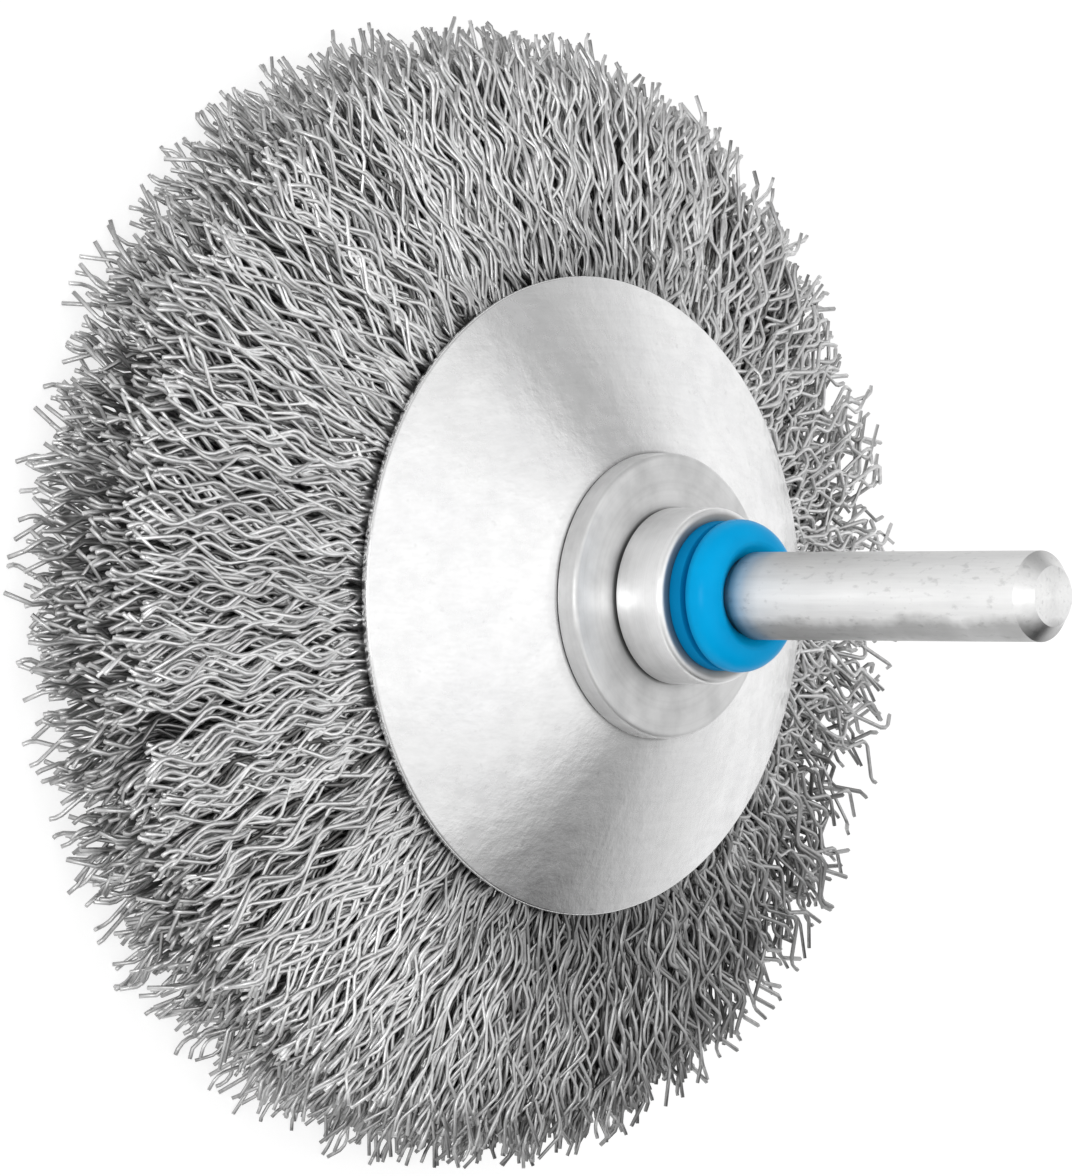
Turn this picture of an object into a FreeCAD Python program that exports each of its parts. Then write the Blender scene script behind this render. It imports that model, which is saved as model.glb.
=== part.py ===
import FreeCAD, Part
import math
import os

import Sketcher

# Conical wire brush on a round shank.
# It stands on the front edge of its wires with the shank pointing up, and the axis of the brush is +Z.
# Height zero is the level of the front edge of the wires.

V = FreeCAD.Vector

# Driving sizes in millimetres, and one angle in degrees
SIZES = {
    "brush_diameter": 80.0,
    "trim_width": 10.4,
    "rim_height": 15.5,
    "shank_diameter": 6.0,
    "shank_length": 29.0,
    "tip_chamfer": 1.0,
    "spigot_diameter": 4.8,
    "tail_head_diameter": 8.4,
    "tail_head_height": 1.4,
    "tail_head_chamfer": 0.9,
    "bore_clearance": 0.1,
    "seat_clearance": 0.05,
    "collar_diameter": 12.2,
    "collar_length": 4.35,
    "collar_chamfer": 0.35,
    "colour_ring_seat_depth": 0.3,
    "colour_ring_clearance": 0.05,
    "colour_ring_length": 3.4,
    "colour_ring_diameter": 10.5,
    "colour_ring_round": 1.5,
    "colour_ring_mouth": 7.1,
    "colour_ring_mouth_depth": 0.6,
    "ring_flange_diameter": 10.3,
    "ring_flange_thickness": 1.05,
    "ring_groove_diameter": 9.5,
    "ring_groove_width": 0.4,
    "ring_edge_break": 0.15,
    "back_washer_diameter": 19.8,
    "back_washer_thickness": 1.6,
    "washer_edge_break": 0.25,
    "front_washer_diameter": 15.0,
    "front_washer_thickness": 1.5,
    "plate_diameter": 45.0,
    "plate_flat_diameter": 19.6,
    "plate_slope": 25.0,
    "sheet_thickness": 1.0,
    "sheet_bend_radius": 0.6,
    "sheet_edge_break": 0.25,
    "front_plate_setback": 1.0,
    "wire_gap": 4.4,
    "core_ring_diameter": 26.0,
    "core_ring_wire": 2.0,
    "wire_diameter": 0.35,
    "crimp_pitch": 6.0,
    "crimp_depth": 1.2,
    "tip_length": 1.6,
    "fan_notch_depth": 3.0,
    "fan_notch_width": 1.2,
    "lock_height": 1.1,
    "lock_height_spread": 0.5,
    "lock_edge_height": 0.4,
    "lock_clearance": 0.2,
    "front_lock_clearance": 0.15,
    "tip_scatter": 0.8,
}
# Numbers of wires and of locks, which are bundles of wires that lie side by side
LOCKS_BEHIND = 96
LOCKS_IN_FRONT = 48
LOCK_DRIFT = 24  # locks until the crimp is back in step with the first, a share of both numbers of locks
LOOSE_WIRES = 36
LOOSE_LAYERS = 2
LOOSE_LEAN = 3.0  # degrees to one side in one layer and to the other side in the next
TIP_ROWS = 5
TIPS_IN_ROW = 72
WIRE_FLAT = 1.5  # width of a three-sided wire over its height, for about the section of a round one

doc = FreeCAD.newDocument("ConicalWireBrush")
sheet = doc.addObject("Spreadsheet::Sheet", "Sizes")
for row, (alias, number) in enumerate(SIZES.items(), start=1):
    sheet.set(f"A{row}", alias)
    sheet.set(f"B{row}", str(number))
    sheet.setAlias(f"B{row}", alias)
doc.recompute()


def size(alias):
    return float(sheet.get(alias))


# Radii and levels as formulas of the sheet, stacked from the rim of the back plate

def half(alias):
    return f"Sizes.{alias} / 2"


SLOPE = "Sizes.plate_slope"
FLAT = half("plate_flat_diameter")
SPIGOT_BORE = "(Sizes.spigot_diameter / 2 + Sizes.bore_clearance)"
PLATE_TOP = f"(Sizes.rim_height + (Sizes.plate_diameter / 2 - {FLAT}) * tan({SLOPE}))"
WASHER_TOP = f"({PLATE_TOP} + Sizes.back_washer_thickness)"
COLLAR_TOP = f"({WASHER_TOP} + Sizes.collar_length)"
RING_TOP = f"({COLLAR_TOP} + Sizes.colour_ring_length)"
RING_SEAT = "(Sizes.shank_diameter / 2 - Sizes.colour_ring_seat_depth)"
SHANK_TIP = f"({COLLAR_TOP} + Sizes.shank_length)"
FRONT_SINK = "(Sizes.sheet_thickness + Sizes.wire_gap)"
FRONT_TOP = f"({PLATE_TOP} - {FRONT_SINK})"
FRONT_UNDER = f"({FRONT_TOP} - Sizes.sheet_thickness)"
FRONT_WASHER_UNDER = f"({FRONT_UNDER} - Sizes.front_washer_thickness)"
TAIL_END = f"({FRONT_WASHER_UNDER} - Sizes.tail_head_height)"


def below_back(radius, depth):
    """Height of the cone that lies this deep, square to the sheet, below the top of the back plate."""
    return f"({PLATE_TOP} - ({radius} - {FLAT}) * tan({SLOPE}) - ({depth}) / cos({SLOPE}))"


def flat_radius(depth):
    """Radius where the flat middle meets the cone, this deep below the top of the back plate."""
    return f"({FLAT} - ({depth}) * tan({SLOPE} / 2))"


# Turned and pressed pieces: a closed outline of corners, each a radius and a height, spun about the axis. The
# corners begin on a circle of this radius, until their sizes pull them into place.
UNPLACED = 10.0


def turned(label, outline):
    body = doc.addObject("PartDesign::Body", label)
    body.Label = label
    sketch = body.newObject("Sketcher::SketchObject", label + "_outline")
    plane = next(f for f in body.Origin.OriginFeatures if f.Role == "XZ_Plane")
    sketch.AttachmentSupport = [(plane, "")]
    sketch.MapMode = "FlatFace"
    count = len(outline)
    angles = [math.tau * i / count for i in range(count)]
    start = [V(2 + math.cos(angle), math.sin(angle), 0) * UNPLACED for angle in angles]
    for i in range(count):
        sketch.addGeometry(Part.LineSegment(start[i], start[(i + 1) % count]), False)
    for i in range(count):
        sketch.addConstraint(Sketcher.Constraint("Coincident", i, 2, (i + 1) % count, 1))
    for i, (radius, height) in enumerate(outline):
        if radius == "0":
            sketch.addConstraint(Sketcher.Constraint("PointOnObject", i, 1, -2))
        else:
            place = sketch.addConstraint(Sketcher.Constraint("DistanceX", -1, 1, i, 1, start[i].x))
            sketch.setExpression(f"Constraints[{place}]", radius)
        place = sketch.addConstraint(Sketcher.Constraint("DistanceY", -1, 1, i, 1, start[i].y))
        sketch.setExpression(f"Constraints[{place}]", height)
    doc.recompute()
    spin = body.newObject("PartDesign::Revolution", label + "_turned")
    spin.Profile = sketch
    spin.ReferenceAxis = (sketch, ["V_Axis"])
    spin.Angle = 360
    sketch.Visibility = False
    doc.recompute()
    return body


def edges_at_corners(body, corners):
    """Names of the round edges that the numbered corners of the outline make."""
    sketch = next(o for o in body.Group if o.TypeId == "Sketcher::SketchObject")
    wanted = [sketch.Geometry[i].StartPoint for i in corners]
    names = []
    for number, edge in enumerate(body.Tip.Shape.Edges, start=1):
        if not isinstance(edge.Curve, Part.Circle):
            continue
        radius, height = edge.Curve.Radius, edge.Curve.Center.z
        if any(math.hypot(radius - p.x, height - p.y) < 1e-4 for p in wanted):
            names.append(f"Edge{number}")
    return names


def rounded(body, corners, radius):
    names = edges_at_corners(body, corners)
    fillet = body.newObject("PartDesign::Fillet", body.Label + "_round")
    fillet.Base = (fillet.BaseFeature or body.Tip, names)
    fillet.setExpression("Radius", radius)
    doc.recompute()


def chamfered(body, corners, width):
    names = edges_at_corners(body, corners)
    chamfer = body.newObject("PartDesign::Chamfer", body.Label + "_chamfer")
    chamfer.Base = (chamfer.BaseFeature or body.Tip, names)
    chamfer.setExpression("Size", width)
    doc.recompute()


# Shank: drawn rod with a shallow seat for the coloured ring, stepped down to a spigot that carries the stack
# and is peened over in front
shank = turned("shank", [
    ("0", TAIL_END),
    (half("tail_head_diameter"), TAIL_END),
    (half("tail_head_diameter"), FRONT_WASHER_UNDER),
    (half("spigot_diameter"), FRONT_WASHER_UNDER),
    (half("spigot_diameter"), COLLAR_TOP),
    (RING_SEAT, COLLAR_TOP),
    (RING_SEAT, RING_TOP),
    (half("shank_diameter"), RING_TOP),
    (half("shank_diameter"), SHANK_TIP),
    ("0", SHANK_TIP),
])
chamfered(shank, [1], "Sizes.tail_head_chamfer")
chamfered(shank, [8], "Sizes.tip_chamfer")

# Collar: thick turned bush between the shoulder of the shank and the back washer
collar = turned("collar", [
    (SPIGOT_BORE, WASHER_TOP),
    (half("collar_diameter"), WASHER_TOP),
    (half("collar_diameter"), COLLAR_TOP),
    (SPIGOT_BORE, COLLAR_TOP),
])
chamfered(collar, [1, 2], "Sizes.collar_chamfer")

# Coloured plastic ring snapped into its seat on the shank, with a thin flange, a groove and a rounded lobe
RING_BORE = f"({RING_SEAT} + Sizes.colour_ring_clearance)"
FLANGE_TOP = f"({COLLAR_TOP} + Sizes.ring_flange_thickness)"
LOBE_FOOT = f"({FLANGE_TOP} + Sizes.ring_groove_width)"
colour_ring = turned("colour_ring", [
    (RING_BORE, COLLAR_TOP),
    (half("ring_flange_diameter"), COLLAR_TOP),
    (half("ring_flange_diameter"), FLANGE_TOP),
    (half("ring_groove_diameter"), FLANGE_TOP),
    (half("ring_groove_diameter"), LOBE_FOOT),
    (half("colour_ring_diameter"), LOBE_FOOT),
    (half("colour_ring_diameter"), RING_TOP),
    (half("colour_ring_mouth"), RING_TOP),
    (RING_BORE, f"{RING_TOP} - Sizes.colour_ring_mouth_depth"),
])
rounded(colour_ring, [6], "Sizes.colour_ring_round")
chamfered(colour_ring, [2, 5], "Sizes.ring_edge_break")


# Washers: punched rings with a broken edge on the side that shows
def washer(label, diameter, under, over, shown):
    rim = half(diameter)
    ring = turned(label, [(SPIGOT_BORE, under), (rim, under), (rim, over), (SPIGOT_BORE, over)])
    chamfered(ring, [shown], "Sizes.washer_edge_break")
    return ring


back_washer = washer("back_washer", "back_washer_diameter", PLATE_TOP, WASHER_TOP, 2)
front_washer = washer("front_washer", "front_washer_diameter", FRONT_WASHER_UNDER, FRONT_UNDER, 1)


# Plates: two dished discs of thin sheet that hold the wires between them
def dished_plate(label, rim, depth):
    under = f"({depth} + Sizes.sheet_thickness)"
    plate = turned(label, [
        (SPIGOT_BORE, f"{PLATE_TOP} - {depth}"),
        (flat_radius(depth), f"{PLATE_TOP} - {depth}"),
        (rim, below_back(rim, depth)),
        (f"{rim} - Sizes.sheet_thickness * sin({SLOPE})",
         f"{below_back(rim, depth)} - Sizes.sheet_thickness * cos({SLOPE})"),
        (flat_radius(under), f"{PLATE_TOP} - {under}"),
        (SPIGOT_BORE, f"{PLATE_TOP} - {under}"),
    ])
    rounded(plate, [1], "Sizes.sheet_bend_radius + Sizes.sheet_thickness")
    rounded(plate, [4], "Sizes.sheet_bend_radius")
    chamfered(plate, [2, 3], "Sizes.sheet_edge_break")
    return plate


BACK_RIM = half("plate_diameter")
back_plate = dished_plate("back_plate", BACK_RIM, "0")
front_plate = dished_plate("front_plate", f"({BACK_RIM} - Sizes.front_plate_setback)", FRONT_SINK)

# Core ring: closed wire ring midway between the plates, round which every wire is folded. It is hidden, and
# its round section is drawn with eight sides.
CORE_DEPTH = "(Sizes.sheet_thickness + Sizes.wire_gap / 2)"
CORE_RADIUS = half("core_ring_diameter")
CORE_LEVEL = below_back(CORE_RADIUS, CORE_DEPTH)


def wire_section(reach):
    eighths = [360 / 8 * (k + 0.5) for k in range(8)]
    return [(f"{CORE_RADIUS} + {reach} * cos({a})", f"{CORE_LEVEL} + {reach} * sin({a})") for a in eighths]


core_ring = turned("core_ring", wire_section(half("core_ring_wire")))
ring_seat = turned("ring_seat", wire_section("(Sizes.core_ring_wire / 2 + Sizes.seat_clearance)"))

# Packed wires: the clamped part of the wires, folded round the core ring, and the dense middle of their fan,
# where single wires no longer show. It reaches the level on which the brush stands.
HALF_GAP = "(Sizes.wire_gap / 2 - Sizes.seat_clearance)"
FOLD_RADIUS = f"({CORE_RADIUS} - {HALF_GAP} * cos({SLOPE}))"
FOLD_LEVEL = f"({CORE_LEVEL} + {HALF_GAP} * sin({SLOPE}))"
ROOT = f"({BACK_RIM} - Sizes.sheet_thickness * sin({SLOPE}))"
ROOT_BACK = below_back(ROOT, "Sizes.sheet_thickness + Sizes.seat_clearance")
ROOT_FRONT = below_back(ROOT, f"{FRONT_SINK} - Sizes.seat_clearance")
FREE_LENGTH = f"({half('brush_diameter')} - {ROOT})"
BACK_FALL = f"(({ROOT_BACK} - Sizes.trim_width) / {FREE_LENGTH})"
LOCK_LAYER = "(Sizes.lock_height + Sizes.seat_clearance)"
BACK_LAYERS = f"({LOCK_LAYER} + {LOOSE_LAYERS} * (Sizes.wire_diameter + Sizes.seat_clearance))"
FAN = f"({half('brush_diameter')} - Sizes.tip_length)"
wire_bundle = turned("wire_bundle", [
    (f"{FOLD_RADIUS} + {HALF_GAP} * sin({SLOPE})", f"{FOLD_LEVEL} + {HALF_GAP} * cos({SLOPE})"),
    (ROOT, ROOT_BACK),
    (ROOT, f"{ROOT_BACK} - {BACK_LAYERS}"),
    (FAN, f"{ROOT_BACK} - ({FAN} - {ROOT}) * {BACK_FALL} - {BACK_LAYERS}"),
    (FAN, "0"),
    (ROOT, f"{ROOT_FRONT} + {LOCK_LAYER}"),
    (ROOT, ROOT_FRONT),
    (f"{FOLD_RADIUS} - {HALF_GAP} * sin({SLOPE})", f"{FOLD_LEVEL} - {HALF_GAP} * cos({SLOPE})"),
])
chamfered(wire_bundle, [0, 7], f"{HALF_GAP} / 2")

# Notches round the face, where the bundles of wires part: a row in each half of its height, one between the
# other. The triangle reaches as far past the face as behind it, so its base is twice as wide as at the face.


def notch_row(label, level, turn, height):
    """Cuts a row of notches up from this level, all the way where no height is given."""
    sketch = wire_bundle.newObject("Sketcher::SketchObject", label + "_outline")
    ground = next(f for f in wire_bundle.Origin.OriginFeatures if f.Role == "XY_Plane")
    sketch.AttachmentSupport = [(ground, "")]
    sketch.MapMode = "FlatFace"
    sketch.AttachmentOffset = FreeCAD.Placement(V(0, 0, 0), FreeCAD.Rotation(V(0, 0, 1), turn))
    sketch.setExpression(".AttachmentOffset.Base.z", level)
    corners = [V(0, 1, 0), V(1, -1, 0), V(1, 1, 0)]
    for i in range(3):
        sketch.addGeometry(Part.LineSegment(corners[i], corners[(i + 1) % 3]), False)
    for i in range(3):
        sketch.addConstraint(Sketcher.Constraint("Coincident", i, 2, (i + 1) % 3, 1))
    sketch.addConstraint(Sketcher.Constraint("PointOnObject", 0, 1, -1))
    sketch.addConstraint(Sketcher.Constraint("Symmetric", 1, 1, 2, 1, -1))
    for corner, formula in enumerate((f"{FAN} - Sizes.fan_notch_depth", f"{FAN} + Sizes.fan_notch_depth")):
        place = sketch.addConstraint(Sketcher.Constraint("DistanceX", -1, 1, corner, 1, 1.0 + corner))
        sketch.setExpression(f"Constraints[{place}]", formula)
    place = sketch.addConstraint(Sketcher.Constraint("DistanceY", 1, 1, 2, 1, 1.0))
    sketch.setExpression(f"Constraints[{place}]", "Sizes.fan_notch_width * 2")
    doc.recompute()
    notch = wire_bundle.newObject("PartDesign::Pocket", label)
    notch.Profile = sketch
    notch.Reversed = True
    if height:
        notch.Type = "Length"
        notch.setExpression("Length", height)
    else:
        notch.Type = "ThroughAll"
    doc.recompute()
    row = wire_bundle.newObject("PartDesign::PolarPattern", label + "_row")
    row.Originals = [notch]
    row.Axis = (sketch, ["N_Axis"])
    row.Angle = 360
    row.Occurrences = LOCKS_BEHIND
    wire_bundle.Tip = row
    doc.recompute()


notch_row("lower_notch", "0", 0, "Sizes.trim_width / 2")
notch_row("upper_notch", "Sizes.trim_width / 2", 180 / LOCKS_BEHIND, None)
packed_wires = doc.addObject("Part::Cut", "packed_wires")
packed_wires.Base = wire_bundle
packed_wires.Tool = ring_seat
doc.recompute()


# Crimped wires: a zigzag bar that runs out and down between two places, each a radius and a height. It bends
# twice in a crimp, and its phase counts the bends before its start. Its
# section has three sides, flat on what it lies on, with a ridge over it, or under it where that is negative.
SHORTEST_RUN = 1 / 8  # of the run between two bends: what is shorter at an end of a wire is left straight


def crimped_bar(start, end, turn, lean, widths, ridges, phase):
    aside = math.radians(lean)
    across = V(end[0] * math.cos(aside) - start[0], end[0] * math.sin(aside), 0)
    length, drop = across.Length, start[1] - end[1]
    bend = size("crimp_pitch") / 2 * length / math.hypot(length, drop)
    stations = [bend * (k - phase) for k in range(math.ceil(length / bend + phase))]
    shortest = SHORTEST_RUN * bend
    stations = [0.0] + [x for x in stations if shortest < x < length - shortest] + [length]
    sections = []
    for x in stations:
        sway = size("crimp_depth") * (abs((x / bend + phase) % 2 - 1) - 0.5)
        reach = (widths[0] + (widths[1] - widths[0]) * x / length) / 2
        level = -drop * x / length
        ridge = level + ridges[0] + (ridges[1] - ridges[0]) * x / length
        corners = [V(x, sway - reach, level), V(x, sway + reach, level), V(x, sway, ridge)]
        sections.append(Part.makePolygon(corners + corners[:1]))
    bar = Part.makeLoft(sections, True, True)
    heading = math.degrees(math.atan2(across.y, across.x))
    bar.Placement = FreeCAD.Placement(V(start[0], 0, start[1]), FreeCAD.Rotation(V(0, 0, 1), heading))
    bar.rotate(V(0, 0, 0), V(0, 0, 1), turn)
    return bar


SHUFFLE = 7  # so that the heights of locks side by side don't follow their lengths


def uneven(number):
    """A share from 0 to 1 that jumps about as the number goes up."""
    return number * (math.sqrt(5) - 1) / 2 % 1


def along(start, end, radius):
    """The place at this radius on the line through two places."""
    share = (radius - start[0]) / (end[0] - start[0])
    return radius, start[1] + share * (end[1] - start[1])


def lifted(place, rise):
    return place[0], place[1] + rise


fan_corners = [line.StartPoint for line in wire_bundle.Group[0].Geometry[2:6]]
back_root, back_edge, front_edge, front_root = [(corner.x, corner.y) for corner in fan_corners]
brush_radius = size("brush_diameter") / 2
fan_radius = brush_radius - size("tip_length")
clearance = size("seat_clearance")
wire_height = size("wire_diameter")
wire_widths = (WIRE_FLAT * wire_height, WIRE_FLAT * wire_height)


def lock_ring(count, root, edge, reach, side, ridges, gap):
    """A ring of locks that follow each other's crimp, behind the fan (side 1) or in front of it (side -1)."""
    root, edge = lifted(root, side * gap), lifted(edge, side * gap)
    locks = []
    for i in range(count):
        end = along(root, edge, reach - size("tip_scatter") * uneven(i))
        widths = [math.tau * place[0] / count - size("lock_clearance") for place in (root, end)]
        height = 1 - size("lock_height_spread") * uneven(SHUFFLE * i)
        side_ridges = [side * ridge * height for ridge in ridges]
        phase = 2 * i / LOCK_DRIFT % 2
        locks.append(crimped_bar(root, end, 360 * i / count, 0, widths, side_ridges, phase))
    return locks


def loose_layer(layer):
    """Single wires over the locks behind, all leaning one way, and the other way in the next layer."""
    rise = 2 * clearance + size("lock_height") + layer * (wire_height + clearance)
    start = along(lifted(back_root, rise), lifted(back_edge, rise), back_root[0] + wire_height)
    lean = LOOSE_LEAN if layer % 2 else -LOOSE_LEAN
    wires = []
    for i in range(LOOSE_WIRES):
        end = along(start, lifted(back_edge, rise), brush_radius - size("tip_scatter") * uneven(i + layer))
        turn = 360 * (i + layer / LOOSE_LAYERS) / LOOSE_WIRES
        phase = 2 * uneven(3 * i + layer)
        wires.append(crimped_bar(start, end, turn, lean, wire_widths, (wire_height, wire_height), phase))
    return wires


def tip_row(row):
    """The free ends of the packed wires, in a row round the face of the brush."""
    share = (row + 0.5) / TIP_ROWS
    start = (fan_radius, back_edge[1] + share * (front_edge[1] - back_edge[1] - wire_height))
    fall = (1 - share) * back_fall + share * front_fall
    tips = []
    for i in range(TIPS_IN_ROW):
        reach = brush_radius - (brush_radius - fan_radius) / 2 * uneven(i + row)
        end = (reach, max(start[1] - fall * (reach - fan_radius), 0))
        turn = 360 * (i + uneven(row)) / TIPS_IN_ROW
        tips.append(crimped_bar(start, end, turn, 0, wire_widths, (wire_height, wire_height), 0.5))
    return tips


back_fall = (back_root[1] - back_edge[1]) / (back_edge[0] - back_root[0])
front_fall = (front_root[1] - front_edge[1]) / (front_edge[0] - front_root[0])
behind = lock_ring(LOCKS_BEHIND, back_root, back_edge, brush_radius - size("tip_scatter") / 2, 1,
                   (size("lock_height"), size("lock_height")), clearance)
front_reach = fan_radius - size("lock_edge_height") / front_fall
in_front = lock_ring(LOCKS_IN_FRONT, front_root, front_edge, front_reach, -1,
                     (size("lock_height"), size("lock_edge_height") / 2), size("front_lock_clearance"))
loose_wires = [wire for layer in range(LOOSE_LAYERS) for wire in loose_layer(layer)]
tips = [tip for row in range(TIP_ROWS) for tip in tip_row(row)]
crimped_wires = doc.addObject("Part::Feature", "crimped_wires")
crimped_wires.Label = "crimped_wires"
crimped_wires.Shape = Part.makeCompound(behind + in_front + loose_wires + tips)

# Check every object, then write one file for each piece
pieces = [
    shank, collar, colour_ring, back_washer, back_plate,
    packed_wires, crimped_wires, core_ring, front_plate, front_washer,
]
doc.recompute()
for thing in doc.Objects:
    if {"Invalid", "Error"} & set(thing.State):
        raise RuntimeError(f"{thing.Label} failed: {thing.State}")
for piece in pieces:
    if piece.Shape.isNull() or not piece.Shape.isValid():
        raise RuntimeError(f"{piece.Label} has no valid shape")
os.makedirs("parts", exist_ok=True)
for piece in pieces:
    piece.Shape.exportStep(os.path.join("parts", piece.Label + ".step"))
    print(piece.Label, len(piece.Shape.Solids), "solids", round(piece.Shape.Volume, 1), "cubic mm")
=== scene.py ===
# %% [markdown]
# A conical wire brush: crimped steel wires fan out from between two dished plates, and a round shank with a
# coloured ring carries them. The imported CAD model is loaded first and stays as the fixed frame. Every piece
# that is made here sits where its CAD node sits, so nothing has to be fitted by eye.

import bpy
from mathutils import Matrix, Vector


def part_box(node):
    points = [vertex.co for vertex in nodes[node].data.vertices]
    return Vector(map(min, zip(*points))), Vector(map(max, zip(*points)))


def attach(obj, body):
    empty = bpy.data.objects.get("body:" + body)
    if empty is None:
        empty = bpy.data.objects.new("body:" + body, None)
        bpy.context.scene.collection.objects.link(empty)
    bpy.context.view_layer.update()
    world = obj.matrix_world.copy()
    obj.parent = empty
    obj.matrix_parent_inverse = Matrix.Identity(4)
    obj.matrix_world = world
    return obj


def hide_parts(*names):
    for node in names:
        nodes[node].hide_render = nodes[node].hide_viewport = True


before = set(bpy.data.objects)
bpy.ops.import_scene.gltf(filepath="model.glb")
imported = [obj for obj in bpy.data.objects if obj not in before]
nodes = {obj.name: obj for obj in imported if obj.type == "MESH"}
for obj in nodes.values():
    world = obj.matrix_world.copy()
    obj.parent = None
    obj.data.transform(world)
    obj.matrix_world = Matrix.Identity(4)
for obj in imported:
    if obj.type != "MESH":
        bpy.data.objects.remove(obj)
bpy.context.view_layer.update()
print("nodes:", sorted(nodes))

# %% Tools
import math

import bmesh
import bpy
import numpy as np
from mathutils import Matrix, Vector

MM = 0.001
scene = bpy.context.scene

# %% [markdown]
# The photo looks at the back of the brush from well above its wires, with the shank pointing to the right.
# On a body of revolution the camera can stand anywhere round the axis, so it stands on the -Y side, rolled
# until +Z points to the right of the picture. A long lens from 400 mm gives the same weak perspective as
# the photo.

# %% Camera
VIEW_DISTANCE = 400  # millimetres, as the fit of the photo's circles says
view_tilt = math.radians(46.87)
right = Vector((0, math.cos(view_tilt), math.sin(view_tilt)))
up = Vector((-1, 0, 0))
towards = Vector((0, -math.sin(view_tilt), math.cos(view_tilt)))
rim_centre = Vector((0, 0, 15.5))
camera = bpy.data.objects.new("camera", bpy.data.cameras.new("camera"))
scene.collection.objects.link(camera)
placing = Matrix((right, up, towards)).transposed().to_4x4()
placing.translation = (rim_centre - 3.66 * right + 0.54 * up + VIEW_DISTANCE * towards) * MM
camera.matrix_world = placing
camera.data.lens = 174.6
camera.data.sensor_width = 36
camera.data.clip_start, camera.data.clip_end = 0.05, 20
scene.camera = camera
print("camera at", [round(x, 4) for x in placing.translation])

# %% [markdown]
# All finishes are made of the same few kinds of node, so short helpers make the nodes and the links. Each
# finish reads Object coordinates, which on these pieces are metres in the frame of the CAD.

# %% Helpers for materials


def new_material(name, color, metallic, roughness):
    """A material and its Principled shader, set to plain numbers."""
    material = bpy.data.materials.new(name)
    material.use_nodes = True
    shader = material.node_tree.nodes["Principled BSDF"]
    shader.inputs["Base Color"].default_value = (*color, 1)
    shader.inputs["Metallic"].default_value = metallic
    shader.inputs["Roughness"].default_value = roughness
    return material, shader


def node(material, kind, **values):
    """A node, with its settings and its unlinked inputs given by name."""
    made = material.node_tree.nodes.new(kind)
    for key, value in values.items():
        socket = made.inputs.get(key.replace("_", " ").title())
        if socket is not None:
            socket.default_value = value
        else:
            setattr(made, key, value)
    return made


def link(material, out, into):
    material.node_tree.links.new(out, into)


def places(material, stretch=(1, 1, 1), shift=(0, 0, 0)):
    """Object coordinates, stretched where a pattern is drawn out, and moved by a shift in metres."""
    coordinates = node(material, "ShaderNodeTexCoord")
    mapping = node(material, "ShaderNodeMapping", scale=stretch, location=shift)
    link(material, coordinates.outputs["Object"], mapping.inputs["Vector"])
    return mapping.outputs["Vector"]


def noise(material, vector, scale, detail=3.0, roughness=0.55):
    made = node(material, "ShaderNodeTexNoise", scale=scale, detail=detail, roughness=roughness)
    link(material, vector, made.inputs["Vector"])
    return made.outputs["Fac"]


def ramp(material, value, stops):
    """Turns a value into a colour through stops of (place, grey or colour)."""
    made = node(material, "ShaderNodeValToRGB")
    elements = made.color_ramp.elements
    while len(elements) < len(stops):
        elements.new(0.5)
    for element, (place, color) in zip(elements, stops):
        element.position = place
        element.color = (*color, 1) if isinstance(color, tuple) else (color, color, color, 1)
    link(material, value, made.inputs["Fac"])
    return made.outputs["Color"]


def multiply(material, a, b):
    made = node(material, "ShaderNodeMix", data_type="RGBA", blend_type="MULTIPLY")
    made.inputs["Factor"].default_value = 1
    link(material, a, made.inputs["A"])
    link(material, b, made.inputs["B"])
    return made.outputs["Result"]


def bumped(material, shader, height, strength, distance):
    made = node(material, "ShaderNodeBump", strength=strength, distance=distance)
    link(material, height, made.inputs["Height"])
    link(material, made.outputs["Normal"], shader.inputs["Normal"])


# %% [markdown]
# Turned and pressed pieces are drawn as half an outline: a few corners, each a radius and a height. The
# spin operator turns it once round the axis, and use_merge closes the seam. Corners that are rounded on the
# real piece are then bevelled as whole rings of edges, which keeps the outline itself short and easy to
# read.

# %% Helper for turned pieces
STEPS = 160


def turned(name, corners, rounds=None, closed=True):
    """Spins an outline in millimetres. Rounds gives a corner's number and its rounding width."""
    mesh = bmesh.new()
    outline = [mesh.verts.new((radius * MM, 0, height * MM)) for radius, height in corners]
    edges = [mesh.edges.new(pair) for pair in zip(outline, outline[1:])]
    if closed:
        edges.append(mesh.edges.new((outline[-1], outline[0])))
    bmesh.ops.spin(mesh, geom=outline + edges, cent=(0, 0, 0), axis=(0, 0, 1), angle=math.tau, steps=STEPS,
                   use_merge=True)
    bmesh.ops.remove_doubles(mesh, verts=mesh.verts, dist=1e-7)
    for number, (width, segments) in (rounds or {}).items():
        radius, height = corners[number]
        ring = [edge for edge in mesh.edges if all(
            math.hypot(math.hypot(v.co.x, v.co.y) / MM - radius, v.co.z / MM - height) < 1e-3
            for v in edge.verts)]
        bmesh.ops.bevel(mesh, geom=ring, offset=width * MM, segments=segments, profile=0.5, affect="EDGES",
                        material=-1, clamp_overlap=False)
    bmesh.ops.recalc_face_normals(mesh, faces=mesh.faces)
    return finished(name, mesh)


def finished(name, mesh):
    """Writes the mesh to an object at the origin, shaded smooth but for its sharp edges."""
    data = bpy.data.meshes.new(name)
    mesh.to_mesh(data)
    mesh.free()
    data.shade_smooth()
    data.set_sharp_from_angle(angle=math.radians(30))
    piece = bpy.data.objects.new(name, data)
    scene.collection.objects.link(piece)
    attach(piece, "root")
    print(name, len(data.polygons), "faces")
    return piece


def dressed(piece, replaced, material):
    """Lets a piece stand for its CAD node and gives it its finish."""
    piece.data.materials.append(material)
    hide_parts(replaced)
    return piece


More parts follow.
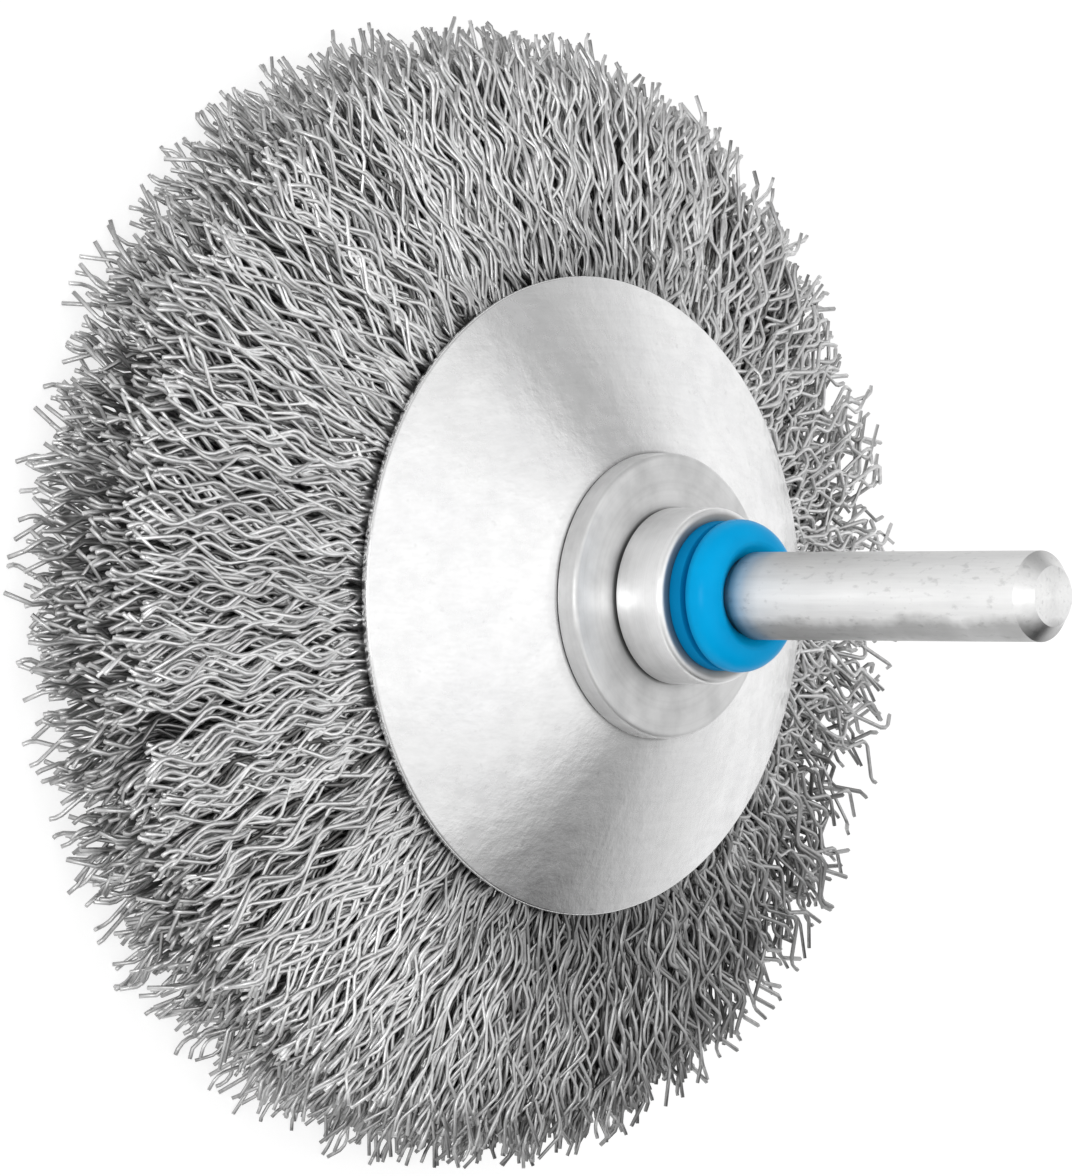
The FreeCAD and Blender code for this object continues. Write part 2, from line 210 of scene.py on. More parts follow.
# %% [markdown]
# Shade gathers where two pieces meet, and here it is painted into the finish. Two more helpers give a finish
# a tone by its height on the axis or by its distance from it, so that where two pieces touch a finish gets
# its thin line of painted shade, and a foot its painted shade.

# %% Tones by height and by radius


def measured(material, value, start, end, stops):
    """Tone by a measure in metres: stops run from start to end, in millimetres."""
    span = node(material, "ShaderNodeMapRange")
    span.inputs["From Min"].default_value, span.inputs["From Max"].default_value = start * MM, end * MM
    link(material, value, span.inputs["Value"])
    return ramp(material, span.outputs["Result"], stops)


def height_ramp(material, start, end, stops):
    """Tone by height: stops run from the start height to the end height, in millimetres."""
    split = node(material, "ShaderNodeSeparateXYZ")
    link(material, places(material), split.inputs["Vector"])
    return measured(material, split.outputs["Z"], start, end, stops)


def distance(material, stretch=(1, 1, 0), shift=(0, 0, 0)):
    """Distance from the axis. Stretch and shift make its rings uneven."""
    length = node(material, "ShaderNodeVectorMath", operation="LENGTH")
    link(material, places(material, stretch, shift), length.inputs[0])
    return length.outputs["Value"]


def radius_ramp(material, start, end, stops, **uneven):
    """Tone by distance from the axis: stops run from one radius to the other, in millimetres."""
    return measured(material, distance(material, **uneven), start, end, stops)


# %% [markdown]
# The levels of the stack are read from the CAD nodes, so that they always agree with it.

# %% Levels of the stack


def low(name):
    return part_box(name)[0].z / MM


def high(name):
    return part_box(name)[1].z / MM


plate_rim, plate_top = low("back_plate"), high("back_plate")
washer_top, collar_top = high("back_washer"), high("collar")
ring_top, shank_tip = high("colour_ring"), high("shank")
front_top, front_rim = high("front_plate"), low("front_plate")
tail_top, tail_end = low("front_washer"), low("shank")
BORE = 2.5  # radius of the hole that the shank's spigot passes through
print("plate", round(plate_rim, 3), round(plate_top, 3), "washer", round(washer_top, 3),
      "collar", round(collar_top, 3))

# %% [markdown]
# The shank is drawn rod with a satin, slightly pitted skin. Long faint streaks run along it, tiny pits
# break up the highlight, and handling has left it a little duller in patches. All three are noise at
# different sizes: one stretched along the axis, one fine and one coarse. A dark band runs along the +X side
# and a dimmer one along the -X side: they are painted reflections of the dark of the studio, a tone of the
# finish. It is also painted darker just above the coloured ring, as painted shade at the ring's mouth.

# %% Shank
satin_rod, shader = new_material("satin_rod", (0.84, 0.84, 0.84), 1.0, 0.34)
streaks = noise(satin_rod, places(satin_rod, (1, 1, 0.05)), 3600)
pits = noise(satin_rod, places(satin_rod, (1, 1, 0.5)), 2300, 4.0)
patches = noise(satin_rod, places(satin_rod), 260, 4.0)
tone = multiply(satin_rod, ramp(satin_rod, pits, [(0.3, 0.82), (0.42, 1.0)]),
                ramp(satin_rod, patches, [(0.3, (0.95, 0.95, 0.95)), (0.6, (1.0, 1.0, 0.995))]))
tone = multiply(satin_rod, tone, ramp(satin_rod, streaks, [(0.28, 0.94), (0.6, 1.0)]))
# Painted shade: darker just above the coloured ring, where the shank leaves its mouth.
tone = multiply(satin_rod, tone, height_ramp(satin_rod, ring_top, ring_top + 2.6, [
    (0.0, 0.5), (0.35, 0.78), (1.0, 1.0)]))
across = node(satin_rod, "ShaderNodeSeparateXYZ")
link(satin_rod, places(satin_rod), across.inputs["Vector"])
uneven = node(satin_rod, "ShaderNodeMath", operation="MULTIPLY_ADD")
link(satin_rod, patches, uneven.inputs[0])
uneven.inputs[1].default_value = 2.2 * MM
link(satin_rod, across.outputs["X"], uneven.inputs[2])
# Painted reflections: a dark band along the +X side and a dimmer one along the -X side.
painted_dark_reflection = measured(satin_rod, uneven.outputs["Value"], 2.3, 4.2, [(0.0, 1.0), (0.4, 0.54), (1.0, 0.38)])
painted_dim_reflection = measured(satin_rod, across.outputs["X"], -2.9, -0.8, [(0.0, 0.62), (0.5, 0.87), (1.0, 1.0)])
tone = multiply(satin_rod, tone, multiply(satin_rod, painted_dark_reflection, painted_dim_reflection))
link(satin_rod, tone, shader.inputs["Base Color"])
link(satin_rod, ramp(satin_rod, patches, [(0.3, 0.3), (0.7, 0.4)]), shader.inputs["Roughness"])
shader.inputs["Anisotropic"].default_value = 0.7
shader.inputs["Anisotropic Rotation"].default_value = 0.25
bumped(satin_rod, shader, pits, 0.12, 0.00002)

shank = turned("shank_rod", [
    (0, tail_end), (4.2, tail_end), (4.2, tail_top), (2.4, tail_top), (2.4, collar_top),
    (2.7, collar_top), (2.7, ring_top), (3.0, ring_top), (3.0, shank_tip), (0, shank_tip),
], {1: (0.9, 4), 8: (1.0, 1)}, closed=False)
dressed(shank, "shank", satin_rod)

# %% [markdown]
# The collar and the washers are turned or punched and then plated. Turning leaves fine rings round the
# axis, so the pattern reads the distance from the axis and the height, which stay the same all the way
# round.

# %% Turned finish


def turned_finish(name, color, roughness, ring_scale, ring_strength, contact_shade):
    """Plated steel with fine turning rings and cloudy plating, and painted shade where its neighbour stands
    on it.
    """
    material, shader = new_material(name, color, 1.0, roughness)
    height = node(material, "ShaderNodeSeparateXYZ")
    link(material, places(material), height.inputs["Vector"])
    rings = node(material, "ShaderNodeCombineXYZ")
    link(material, distance(material), rings.inputs["X"])
    link(material, height.outputs["Z"], rings.inputs["Z"])
    lines = noise(material, rings.outputs["Vector"], ring_scale, 2.0)
    clouds = noise(material, places(material), 420, 4.0)
    tone = multiply(material, ramp(material, lines, [(0.3, 0.94), (0.65, 1.0)]),
                    ramp(material, clouds, [(0.3, tuple(0.84 * c for c in color)), (0.62, color)]))
    link(material, multiply(material, tone, contact_shade(material)), shader.inputs["Base Color"])
    link(material, ramp(material, clouds, [(0.3, roughness + 0.08), (0.7, roughness - 0.04)]),
         shader.inputs["Roughness"])
    bumped(material, shader, lines, ring_strength, 0.00002)
    shader.inputs["Anisotropic"].default_value = 0.6
    shader.inputs["Anisotropic Rotation"].default_value = 0.25
    return material


def collar_contact_shade(material):
    """Painted shade at the collar's foot, and a bluish painted shade and reflection where the coloured ring
    lies against its face.
    """
    foot = height_ramp(material, washer_top, washer_top + 0.8, [(0.0, 0.22), (0.3, 0.88), (1.0, 1.0)])
    return multiply(material, foot, radius_ramp(material, 5.1, 5.9, [
        (0.0, (0.1, 0.16, 0.2)), (0.6, 0.42), (1.0, 1.0)]))


def washer_contact_shade(material):
    """Painted shade round the collar's foot."""
    return radius_ramp(material, 6.0, 6.7, [(0.0, 0.3), (0.35, 0.85), (1.0, 1.0)])


turned_plate = turned_finish("turned_plate", (1.0, 1.0, 1.0), 0.34, 7000, 0.2, collar_contact_shade)
punched_plate = turned_finish("punched_plate", (0.8, 0.8, 0.8), 0.42, 2600, 0.05, washer_contact_shade)

# %% Collar and washers
collar = turned("collar_bush", [
    (BORE, washer_top), (6.1, washer_top), (6.1, collar_top), (BORE, collar_top),
], {1: (0.35, 1), 2: (0.4, 3)})
dressed(collar, "collar", turned_plate)
back_washer = turned("back_washer_disc", [
    (BORE, plate_top), (9.9, plate_top), (9.9, washer_top), (BORE, washer_top),
], {2: (0.35, 4)})
dressed(back_washer, "back_washer", punched_plate)
front_washer = turned("front_washer_disc", [
    (BORE, tail_top), (7.5, tail_top), (7.5, high("front_washer")), (BORE, high("front_washer")),
], {1: (0.3, 3)})
dressed(front_washer, "front_washer", punched_plate)

# %% [markdown]
# The coloured ring is moulded plastic: a thin flange against the collar, a narrow groove and a rounded lobe
# with a flared mouth round the shank. It is one outline, and the lobe's round front is one wide bevel of
# many segments.

# %% Coloured ring
moulded_blue, shader = new_material("moulded_blue", (0.0, 0.36, 0.8), 0.0, 0.3)
shader.inputs["Specular IOR Level"].default_value = 0.06
cast = noise(moulded_blue, places(moulded_blue), 300)
grain = noise(moulded_blue, places(moulded_blue), 6000)
# Painted shade: the flange and the groove are painted a darker, greyer blue, as if in the lobe's shadow.
shade = height_ramp(moulded_blue, collar_top, collar_top + 2.0, [
    (0.0, (0.4, 0.55, 0.6)), (0.7, (0.45, 0.6, 0.64)), (1.0, 1.0)])
link(moulded_blue, multiply(moulded_blue, shade, ramp(moulded_blue, cast, [
    (0.3, (0.0, 0.37, 0.77)), (0.7, (0.0, 0.42, 0.84))])), shader.inputs["Base Color"])
link(moulded_blue, height_ramp(moulded_blue, collar_top, collar_top + 2.0, [
    (0.0, 0.7), (0.7, 0.6), (1.0, 0.28)]), shader.inputs["Roughness"])
bumped(moulded_blue, shader, grain, 0.12, 0.00002)
colour_ring = turned("colour_ring_moulding", [
    (2.75, collar_top), (5.15, collar_top), (5.15, collar_top + 0.95), (4.55, collar_top + 0.95),
    (4.55, collar_top + 1.45), (5.25, collar_top + 1.45), (5.25, ring_top),
    (3.55, ring_top), (2.75, ring_top - 0.6),
], {6: (1.5, 8), 2: (0.12, 2), 5: (0.15, 3), 7: (0.2, 3)})
dressed(colour_ring, "colour_ring", moulded_blue)

# %% [markdown]
# The plates are pressed from bright plated sheet. Rolling has drawn faint marks through the plating,
# and handling has left soft clouds in it. The dish
# itself is one outline: flat middle, soft fold and a cone with a rounded rim.

# %% Plates
bright_sheet, shader = new_material("bright_sheet", (0.9, 0.9, 0.9), 1.0, 0.22)
clouds = noise(bright_sheet, places(bright_sheet), 110, 5.0, 0.6)
rolled = noise(bright_sheet, places(bright_sheet, (1, 0.05, 1)), 2400, 3.0)
freckles = noise(bright_sheet, places(bright_sheet), 1500, 4.0)
mottle = noise(bright_sheet, places(bright_sheet), 420, 5.0, 0.65)
plating = ramp(bright_sheet, clouds, [(0.32, (0.88, 0.88, 0.885)), (0.62, (0.92, 0.92, 0.92))])
tone = multiply(bright_sheet, plating, ramp(bright_sheet, rolled, [(0.3, 0.95), (0.6, 1.0)]))
tone = multiply(bright_sheet, tone, ramp(bright_sheet, mottle, [(0.33, 0.965), (0.6, 1.0)]))
tone = multiply(bright_sheet, tone, ramp(bright_sheet, freckles, [(0.24, 0.88), (0.36, 1.0)]))
# Painted shade: a dark ring round the washer's rim, where it stands on the plate.
foot = radius_ramp(bright_sheet, 9.9, 10.7, [(0.0, 0.35), (0.3, 0.88), (1.0, 1.0)])
link(bright_sheet, multiply(bright_sheet, tone, foot), shader.inputs["Base Color"])
link(bright_sheet, ramp(bright_sheet, mottle, [(0.33, 0.31), (0.62, 0.18)]), shader.inputs["Roughness"])
waves = node(bright_sheet, "ShaderNodeMath", operation="MULTIPLY_ADD")
link(bright_sheet, rolled, waves.inputs[0])
waves.inputs[1].default_value = 0.06
link(bright_sheet, mottle, waves.inputs[2])
bumped(bright_sheet, shader, waves.outputs["Value"], 0.5, 0.0001)
SHEET = 1
FLAT = 9.8  # radius of the back plate's flat middle
slope = math.radians(25)


def dished_plate(name, rim, top):
    """A dished disc of sheet, whose cone lies along the back plate's."""
    depth = plate_top - top
    flat = FLAT - depth * math.tan(slope / 2)
    under_flat = FLAT - (depth + SHEET) * math.tan(slope / 2)
    rim_level = plate_top - (rim - FLAT) * math.tan(slope) - depth / math.cos(slope)
    return turned(name, [
        (BORE, top), (flat, top), (rim, rim_level),
        (rim - SHEET * math.sin(slope), rim_level - SHEET * math.cos(slope)),
        (under_flat, top - SHEET), (BORE, top - SHEET),
    ], {1: (0.35, 6), 4: (0.15, 4), 2: (0.25, 4), 3: (0.25, 4)})


dressed(dished_plate("back_plate_dish", 22.5, plate_top), "back_plate", bright_sheet)
dressed(dished_plate("front_plate_dish", 21.5, front_top), "front_plate", bright_sheet)

# %% [markdown]
# The brush itself is thousands of steel wires, each folded round the core ring and crimped into a wave of
# its own phase. A polyline curve with a bevel depth makes all of them from centre lines alone, and turning
# the curve into a mesh keeps the model an ordinary one. The curve's end caps come first in that mesh and
# stand apart, so they are merged to the sides and left flat, as cut ends are. Only the wires on the two
# sides of the fan show over their whole length, so they get three points to a bend. The ones between get
# two and start further out, where their tips make the face.

# %% How one wire runs
WIRE_RADIUS = 0.168
CRIMP_RUN = 2.9
CRIMP_DEPTH = 1.2
chance = np.random.default_rng(20)
root_back, root_front = (22.0, 14.35), (22.0, 10.05)
edge_back, edge_front = (40.0, 10.3), (39.6, 0.16)
ROUND_BEND = (-0.16, 0, 0.16)  # the points of one bend, in half waves from its middle
PLAIN_BEND = (-0.2, 0.2)


def fan_place(radius, share):
    """Height at this radius and this share of the way from the back of the fan to its front."""
    out = (radius - root_back[0]) / (edge_back[0] - root_back[0])
    back = root_back[1] + out * (edge_back[1] - root_back[1])
    front = root_front[1] + out * (edge_front[1] - root_front[1])
    return back + share * (front - back)


def new_crimp():
    """Tilt of the wave's plane, length of half a wave, half its depth, and where along it the wire starts."""
    run, depth = CRIMP_RUN * chance.uniform(0.85, 1.2), CRIMP_DEPTH * chance.uniform(0.7, 1.15) / 2
    return chance.normal(0, 0.6), run, depth, chance.uniform(0, 2)


def wire_line(start, end, crimp, curl, bend):
    """Centre line of one crimped wire, in millimetres. Bend says where its points lie in each bend."""
    tilt, run, depth, phase = crimp
    length = (end - start).length
    ahead = (end - start).normalized()
    aside = ahead.cross(Vector((0, 0, 1))).normalized()
    above = aside.cross(ahead)
    swing = aside * math.cos(tilt) + above * math.sin(tilt)
    bow = aside * chance.normal(0, 0.45) + above * chance.normal(0, 0.25)
    stations = []
    for number in range(1, int(length / run + phase) + 1):
        stations += [run * (number - phase + place) for place in bend]
    points = []
    for x in [0.0] + [x for x in stations if 0.2 < x < length - 0.2] + [length]:
        share = x / length
        wave = depth * math.cos(math.pi * (x / run + phase)) * min(1, 0.25 + x / 2.5) * (1 + curl * share)
        points.append(start + ahead * x + swing * wave + bow * (4 * share * (1 - share)))
    return points


# %% Wires as curves, then as meshes


def wire_set(name, lines, shade_range):
    """Bevels all the lines as one curve, and keeps the mesh of it, each wire with a shade of its own from the
    layer's range, which carries the layer's painted depth shade.
    """
    curve = bpy.data.curves.new(name, "CURVE")
    curve.dimensions = "3D"
    curve.bevel_depth = WIRE_RADIUS * MM
    curve.bevel_resolution = 0
    curve.use_fill_caps = True
    for line in lines:
        spline = curve.splines.new("POLY")
        spline.points.add(len(line) - 1)
        spline.points.foreach_set("co", [
            x for p in line for x in (p.x * MM, p.y * MM, max(p.z, WIRE_RADIUS) * MM, 1)])
    holder = bpy.data.objects.new(name + "_lines", curve)
    data = bpy.data.meshes.new_from_object(holder)
    data.name = name
    bpy.data.objects.remove(holder)
    bpy.data.curves.remove(curve)
    shades = chance.uniform(*shade_range, size=len(lines))
    caps, sides = np.repeat(shades, 8), np.repeat(shades, [4 * len(line) for line in lines])
    attribute = data.attributes.new("wire_shade", "FLOAT", "POINT")
    shades = np.concatenate([caps, sides]).astype(np.float32)
    attribute.data.foreach_set("value", shades)
    mesh = bmesh.new()
    mesh.from_mesh(data)
    for face in mesh.faces:
        face.smooth = len(face.verts) == 4
        face.material_index = 0 if face.smooth else 1
    bmesh.ops.remove_doubles(mesh, verts=mesh.verts, dist=1e-7)
    mesh.to_mesh(data)
    mesh.free()
    print(name, len(lines), "wires", len(data.polygons), "faces")
    data.materials.clear()
    data.materials.append(drawn_wire)
    data.materials.append(cut_wire)
    piece = bpy.data.objects.new(name, data)
    scene.collection.objects.link(piece)
    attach(piece, "root")
    return piece


# %% [markdown]
# Drawn steel wire is rubbed bright on the outside of the fan. Deeper in the fan its neighbours shade it,
# and that is painted: each layer below the back one draws its stored shade from a darker range. The finish
# varies the metal from wire to wire by that stored shade, a random tone and painted shade in one, and
# along each wire by fine drawing marks. Work rubs the last few millimetres bright. Two more tones are
# painted shade, which the lamps here are too soft to cast: the first millimetres by the plates are darker,
# and so is the side away from the light, where a dot product with its direction tells how far out a wire
# lies. The cut ends are bare bright steel, and show as dots where the fan faces the eye.

# %% Wire finish
drawn_wire, shader = new_material("drawn_wire", (0.6, 0.6, 0.6), 1.0, 0.42)
shade = node(drawn_wire, "ShaderNodeAttribute", attribute_name="wire_shade")
marks = noise(drawn_wire, places(drawn_wire), 1900, 3.0)
skin = ramp(drawn_wire, shade.outputs["Fac"], [(0.0, (0.045, 0.043, 0.04)), (1.0, (0.98, 0.98, 0.98))])
rubbed = node(drawn_wire, "ShaderNodeMix", data_type="RGBA")
link(drawn_wire, radius_ramp(drawn_wire, 34, 40, [(0.0, 0.0), (1.0, 0.5)]), rubbed.inputs["Factor"])
link(drawn_wire, skin, rubbed.inputs["A"])
rubbed.inputs["B"].default_value = (0.8, 0.8, 0.8, 1)
tone = multiply(drawn_wire, rubbed.outputs["Result"], ramp(drawn_wire, marks, [(0.3, 0.82), (0.55, 1.0)]))
by_plates = radius_ramp(drawn_wire, 20.5, 34, [(0.0, 0.26), (0.3, 0.56), (0.7, 0.95), (1.0, 1.0)],
                        stretch=(1, 1.4, 0), shift=(-1.5 * MM, 0, 0))
far_side = node(drawn_wire, "ShaderNodeVectorMath", operation="DOT_PRODUCT")
far_side.inputs[1].default_value = (0.84, 0.54, 0)
link(drawn_wire, places(drawn_wire), far_side.inputs[0])
shaded = measured(drawn_wire, far_side.outputs["Value"], 17, 33, [(0.0, 1.0), (1.0, 0.6)])
tone = multiply(drawn_wire, multiply(drawn_wire, tone, by_plates), shaded)
link(drawn_wire, tone, shader.inputs["Base Color"])
link(drawn_wire, ramp(drawn_wire, marks, [(0.3, 0.5), (0.7, 0.36)]), shader.inputs["Roughness"])

# %% Cut ends of the wires
cut_wire, shader = new_material("cut_wire", (0.98, 0.98, 0.98), 1.0, 0.3)
shear = noise(cut_wire, places(cut_wire), 5200, 2.0)
link(cut_wire, ramp(cut_wire, shear, [(0.3, 0.86), (0.6, 1.0)]), shader.inputs["Base Color"])
link(cut_wire, ramp(cut_wire, shear, [(0.3, 0.42), (0.7, 0.26)]), shader.inputs["Roughness"])

# %% [markdown]
# Crimped wires catch on each other. Two neighbours lie side by side with the same wave, and the free ends
# gather in tufts of uneven reach, with gaps between them. On one side the brush is ragged: many wires have
# broken short there, and those that still reach out curl.

# %% Plant the wires
TUFTS = 104
NEIGHBOURS = 2
BESIDE = 0.011  # radians from one neighbour to the next
TUFT_PULL = 0.46  # share of the way that a free end leans towards the middle of its tuft
NOTCH_DEPTH = 1.6  # between two tufts
RAGGED_LOSS = 3.6  # the most that a wire of the ragged side has worn short
BROKEN_OFF = (24, 31)  # radii at which its broken wires end
SHORTEST = 3  # a wire that would come out shorter than this is left out
middles = chance.uniform(-0.3, 0.3, size=TUFTS)
reaches = np.abs(chance.normal(0, 0.8, size=TUFTS))


def planted(count, start_radius, shares, reach, thinned, bend=PLAIN_BEND):
    """Lines of one layer of wires, between two shares of the fan's thickness, thinned on the ragged side."""
    lines = []
    for i in range(count):
        if i % NEIGHBOURS == 0:
            crimp = new_crimp()
            share = chance.uniform(*shares)
            azimuth = math.tau * (i + chance.uniform(-2, 2)) / count
            drift = chance.normal(0, 0.06)
        tilt, run, depth, phase = crimp
        beside = azimuth + (i % NEIGHBOURS) * BESIDE + chance.normal(0, 0.002)
        ragged = max(0, math.sin(beside + 0.15)) ** 2
        tuft = round(beside / math.tau * TUFTS)
        middle = math.tau * (tuft + middles[tuft % TUFTS]) / TUFTS
        lean = beside + TUFT_PULL * (middle - beside) + drift * (1 + ragged) + chance.normal(0, 0.035)
        full = reach + 0.15 * max(0, -math.cos(beside)) ** 3 + 0.4 * max(0, -math.sin(beside)) ** 2
        full -= 1.2 * max(0, 1 - 2 * share) ** 2
        from_tuft = 2 * (lean - middle) / math.tau * TUFTS
        end_radius = full - reaches[tuft % TUFTS] - abs(chance.normal(0, 0.35))
        end_radius -= NOTCH_DEPTH * min(1, from_tuft ** 2)
        end_radius -= RAGGED_LOSS * ragged * chance.uniform(0.1, 1)
        if chance.uniform() < thinned * ragged:
            end_radius = min(end_radius, chance.uniform(*BROKEN_OFF))
        if chance.uniform() < 0.03 + 0.12 * ragged:
            end_radius = full + chance.uniform(-0.9, 0.0)
        start_share = min(1, max(0, share + chance.normal(0, 0.06)))
        end_share = min(1, max(0, share + chance.normal(0, 0.04)))
        if end_radius < start_radius + SHORTEST:
            continue
        start = Vector((start_radius * math.cos(beside), start_radius * math.sin(beside),
                        fan_place(start_radius, start_share)))
        end = Vector((end_radius * math.cos(lean), end_radius * math.sin(lean),
                      fan_place(end_radius, end_share)))
        own_crimp = (tilt + chance.normal(0, 0.1), run, depth, phase + chance.uniform(0, 0.12))
        lines.append(wire_line(start, end, own_crimp, 0.2 + 0.35 * ragged, bend))
    return lines


# Painted shade: the layers below the back one get darker ranges of stored shade, for the depth of the fan.
back_wires = wire_set("back_wires", planted(1380, 21.3, (0.0, 0.15), 41.3, 0.8, ROUND_BEND), (0.72, 1.0))
second_wires = wire_set("second_wires", planted(1450, 21.3, (0.12, 0.36), 41.2, 0.95), (0.1, 0.58))
inner_wires = wire_set("inner_wires", planted(1900, 28.0, (0.3, 0.95), 41.2, 1.0), (0.15, 0.75))
front_wires = wire_set("front_wires", planted(1200, 21.0, (0.78, 1.0), 41.2, 0.9, ROUND_BEND), (0.25, 0.9))
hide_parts("crimped_wires")

# %% [markdown]
# Deep in the fan the wires lie so close that no light gets through. One dark turned body stands for them
# there: it fills the clamp between the plates and the first third of the fan, and stays below the wires
# that show. On the ragged side, where the eye sees through the fan, its outer edge is drawn back to the
# rims of the plates.

# %% Dark middle of the fan
shaded_wires, shader = new_material("shaded_wires", (0.06, 0.06, 0.06), 0.6, 0.6)
depths = noise(shaded_wires, places(shaded_wires), 1400, 4.0)
link(shaded_wires, ramp(shaded_wires, depths, [(0.35, 0.004), (0.65, 0.04)]), shader.inputs["Base Color"])
bumped(shaded_wires, shader, depths, 0.9, 0.0004)
MIDDLE_ROOT = 22.3
MIDDLE_EDGE = 31
EDGE_ABOVE, EDGE_BELOW = 0.34, 0.78  # shares of the fan's thickness at its outer edge
DRAWN_BACK = 8
middle = turned("wire_middle", [
    (20.5, 15.2), (MIDDLE_ROOT, 13.1), (MIDDLE_EDGE, fan_place(MIDDLE_EDGE, EDGE_ABOVE)),
    (MIDDLE_EDGE, fan_place(MIDDLE_EDGE, EDGE_BELOW)), (MIDDLE_ROOT, 10.9), (20.5, 10.6),
])
for corner in middle.data.vertices:
    radius = math.hypot(corner.co.x, corner.co.y) / MM
    if radius > MIDDLE_ROOT + 1:
        share = EDGE_ABOVE if corner.co.z / MM > fan_place(MIDDLE_EDGE, 0.5) else EDGE_BELOW
        drawn_back = radius - DRAWN_BACK * max(0, corner.co.y / MM / radius) ** 2
        corner.co.x *= drawn_back / radius
        corner.co.y *= drawn_back / radius
        corner.co.z = fan_place(drawn_back, share) * MM
dressed(middle, "packed_wires", shaded_wires)

# %% [markdown]
# The core ring stays as the CAD made it. It is hidden between the plates, and only gets the same steel as
# the wires that are folded round it.

# %% Core ring
core_wire, shader = new_material("core_wire", (0.45, 0.45, 0.45), 1.0, 0.4)
core_marks = noise(core_wire, places(core_wire), 1600)
link(core_wire, ramp(core_wire, core_marks, [(0.3, 0.36), (0.7, 0.55)]), shader.inputs["Base Color"])
link(core_wire, ramp(core_wire, core_marks, [(0.3, 0.5), (0.7, 0.35)]), shader.inputs["Roughness"])
nodes["core_ring"].data.materials.clear()
nodes["core_ring"].data.materials.append(core_wire)

# %% [markdown]
# The photo has a pure white ground. A plain plane stands for it: camera and mirror rays meet a paler
# version of it, so that it reads as white without more light on the brush, and it still takes the brush's
# soft shadow.

# %% Floor
white_ground, shader = new_material("white_ground", (0.8, 0.8, 0.8), 0.0, 0.9)
MIRRORED_SHARE = 0.8
GLOW = 0.76
rays = node(white_ground, "ShaderNodeLightPath")
seen = node(white_ground, "ShaderNodeMath", operation="MAXIMUM")
link(white_ground, rays.outputs["Is Camera Ray"], seen.inputs[0])
mirrored = node(white_ground, "ShaderNodeMath", operation="MULTIPLY")
mirrored.inputs[1].default_value = MIRRORED_SHARE
link(white_ground, rays.outputs["Is Glossy Ray"], mirrored.inputs[0])
link(white_ground, mirrored.outputs["Value"], seen.inputs[1])
seen_any = node(white_ground, "ShaderNodeMath", operation="MAXIMUM")
link(white_ground, seen.outputs["Value"], seen_any.inputs[0])
link(white_ground, rays.outputs["Is Transmission Ray"], seen_any.inputs[1])
glow = node(white_ground, "ShaderNodeMath", operation="MULTIPLY")
glow.inputs[1].default_value = GLOW
link(white_ground, seen_any.outputs["Value"], glow.inputs[0])
shader.inputs["Emission Color"].default_value = (1, 1, 1, 1)
link(white_ground, glow.outputs["Value"], shader.inputs["Emission Strength"])
pale = node(white_ground, "ShaderNodeMix", data_type="RGBA")
pale.inputs["A"].default_value = (0.8, 0.8, 0.8, 1)
pale.inputs["B"].default_value = (0.36, 0.36, 0.36, 1)
link(white_ground, seen_any.outputs["Value"], pale.inputs["Factor"])
link(white_ground, pale.outputs["Result"], shader.inputs["Base Color"])
shader.inputs["Specular IOR Level"].default_value = 0
ground = bmesh.new()
bmesh.ops.create_grid(ground, x_segments=1, y_segments=1, size=3)
floor_mesh = bpy.data.meshes.new("floor")
ground.to_mesh(floor_mesh)
ground.free()
floor_mesh.materials.append(white_ground)
floor = bpy.data.objects.new("floor", floor_mesh)
scene.collection.objects.link(floor)

# %% [markdown]
# The light is a plain studio, and metal mostly shows what stands round it. The world is a mid grey room
# with soft places in it, each a direction with a strength. The bright ceiling shows in the left of the
# plate, the pale wall behind the brush in its right, and the first two dark places between them as its two
# grey wedges. The other dark ones stand at the brush's two sides and deepen the wires there. A dim overhead
# lamp and a small one in front give the soft shadow and the light on the coloured ring.

# %% World
world = bpy.data.worlds.new("studio")
scene.world = world
world.use_nodes = True
direction = node(world, "ShaderNodeTexCoord").outputs["Generated"]


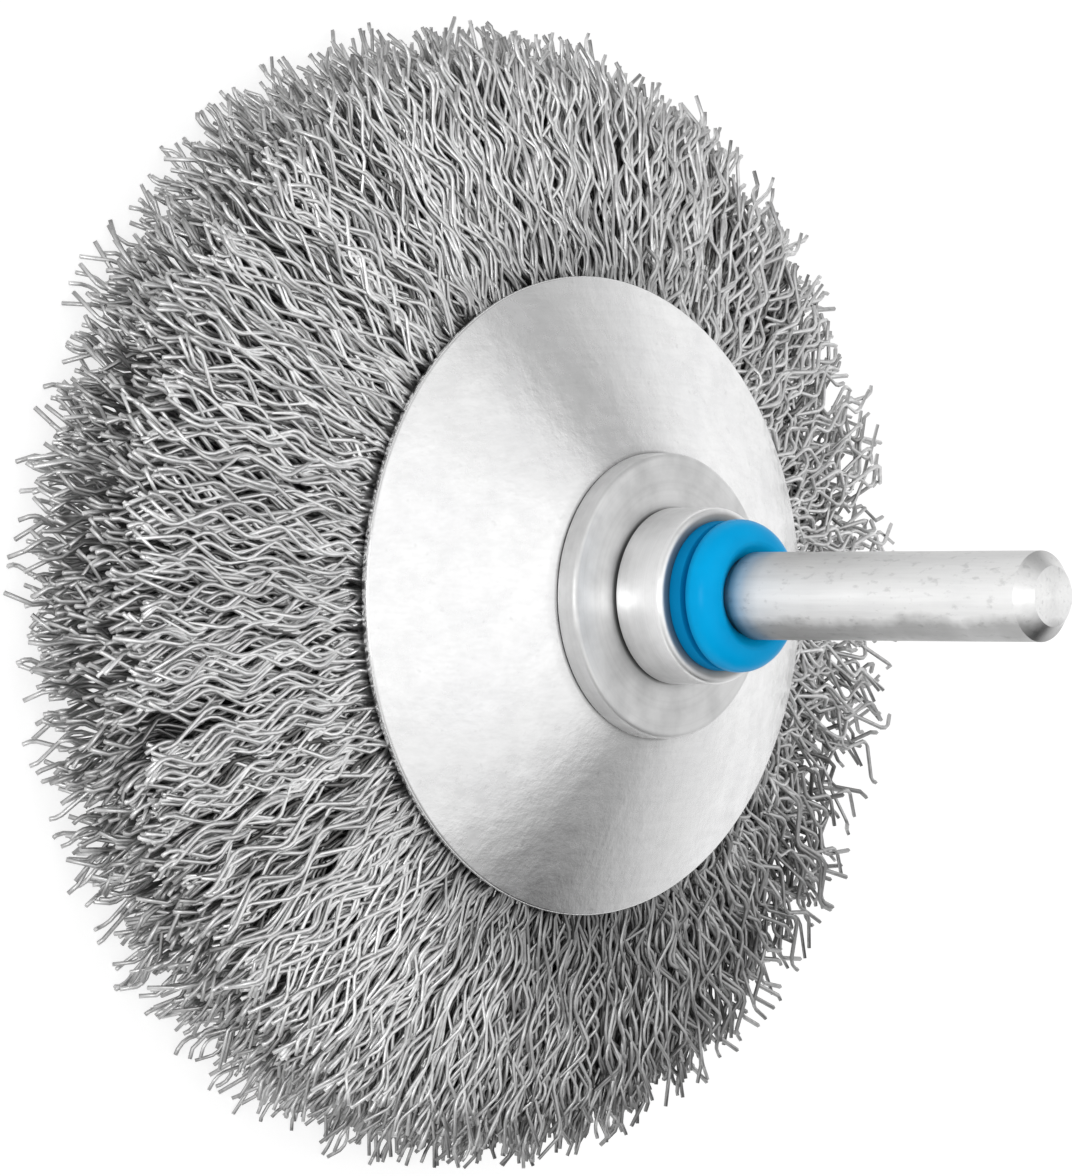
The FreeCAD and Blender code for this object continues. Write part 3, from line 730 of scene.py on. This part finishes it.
def glow_towards(way, edge, middle, strength):
    """Strength of a soft round patch of the room, from the cosine of its edge to that of its middle."""
    facing = node(world, "ShaderNodeVectorMath", operation="DOT_PRODUCT")
    facing.inputs[1].default_value = Vector(way).normalized()
    link(world, direction, facing.inputs[0])
    fall = node(world, "ShaderNodeMapRange", interpolation_type="SMOOTHSTEP")
    fall.inputs["From Min"].default_value, fall.inputs["From Max"].default_value = edge, middle
    fall.inputs["To Max"].default_value = strength
    link(world, facing.outputs["Value"], fall.inputs["Value"])
    return fall.outputs["Result"]


room = glow_towards((0, 0, 1), -4, 1.5, 0.75)
PATCHES = [  # direction, cosines of its edge and its middle, strength
    ((0, -0.05, 1), 0.62, 0.76, 0.245),
    ((0.1, 1, -0.1), 0.55, 0.95, 0.42),
    ((0, -1, 0.1), 0.6, 0.95, 0.05),
    ((-0.58, 0.52, 0.63), 0.965, 0.993, -0.24),
    ((0.6, 0.75, 0.3), 0.72, 0.99, -0.26),
    ((1, 0.1, -0.1), 0.4, 0.9, -0.3),
    ((0.95, 0.3, 0.05), 0.78, 0.93, -0.12),
    ((-0.95, 0.3, 0), 0.78, 0.93, -0.2),
]
for way, edge, middle, strength in PATCHES:
    total = node(world, "ShaderNodeMath", operation="ADD")
    link(world, room, total.inputs[0])
    link(world, glow_towards(way, edge, middle, strength), total.inputs[1])
    room = total.outputs["Value"]
background = world.node_tree.nodes["Background"]
link(world, room, background.inputs["Color"])
background.inputs["Strength"].default_value = 1.0

# %% Lamps


def soft_box(name, place, aim, width, height, brightness):
    """An area lamp whose face is this bright to look at, where 1 is white."""
    lamp = bpy.data.lights.new(name, "AREA")
    lamp.shape, lamp.size, lamp.size_y = "RECTANGLE", width, height
    lamp.energy = brightness * math.pi * width * height
    holder = bpy.data.objects.new(name, lamp)
    scene.collection.objects.link(holder)
    spot = Vector(place)
    facing = (spot - Vector(aim)).to_track_quat("Z", "Y")
    holder.matrix_world = Matrix.Translation(spot) @ facing.to_matrix().to_4x4()
    print(name, round(lamp.energy, 2), "W")


soft_box("overhead", (-0.05, -0.1, 0.9), (0, 0, 0.02), 0.8, 0.7, 0.15)
soft_box("front", (0.0, -0.75, 0.38), (0, 0, 0.03), 0.32, 0.26, 5.5)

# %% [markdown]
# Last, the colour management is the plain one.

# %% Finish
scene.view_settings.view_transform = "Standard"
